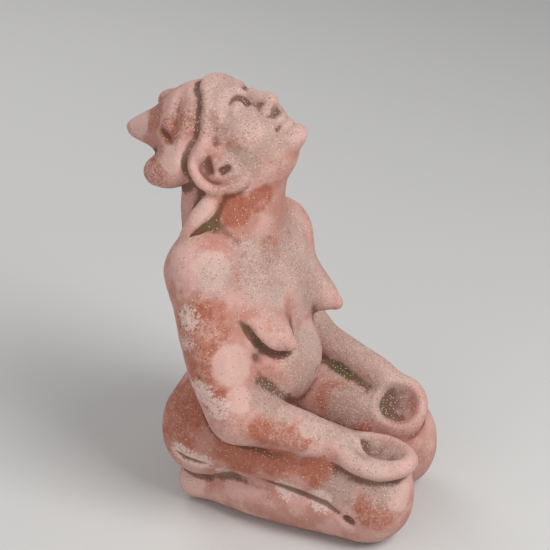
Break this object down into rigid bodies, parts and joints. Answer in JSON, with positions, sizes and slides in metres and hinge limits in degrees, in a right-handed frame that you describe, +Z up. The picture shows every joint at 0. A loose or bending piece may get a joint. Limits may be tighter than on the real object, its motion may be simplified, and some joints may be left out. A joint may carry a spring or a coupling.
{
  "type": "terracotta sculpture of a kneeling woman",
  "caption": "Hand-modelled terracotta figure of a plump woman who kneels on her heels, hands open on her thighs, head thrown back under a knotted headscarf.",
  "frame": {"origin": "on the ground under the middle of her lap, on the flat underside", "axes": "+Z up, -Y where she faces, -X her right side"},
  "size_m": [0.2082, 0.2801, 0.3846],
  "materials": {
    "terracotta": "unglazed fired clay, matt, mottled salmon pink and red brown with grey sandy bloom and mica glints"
  },
  "bodies": {
    "root": {"kneeling_woman": "terracotta"}
  },
  "joints": []
}
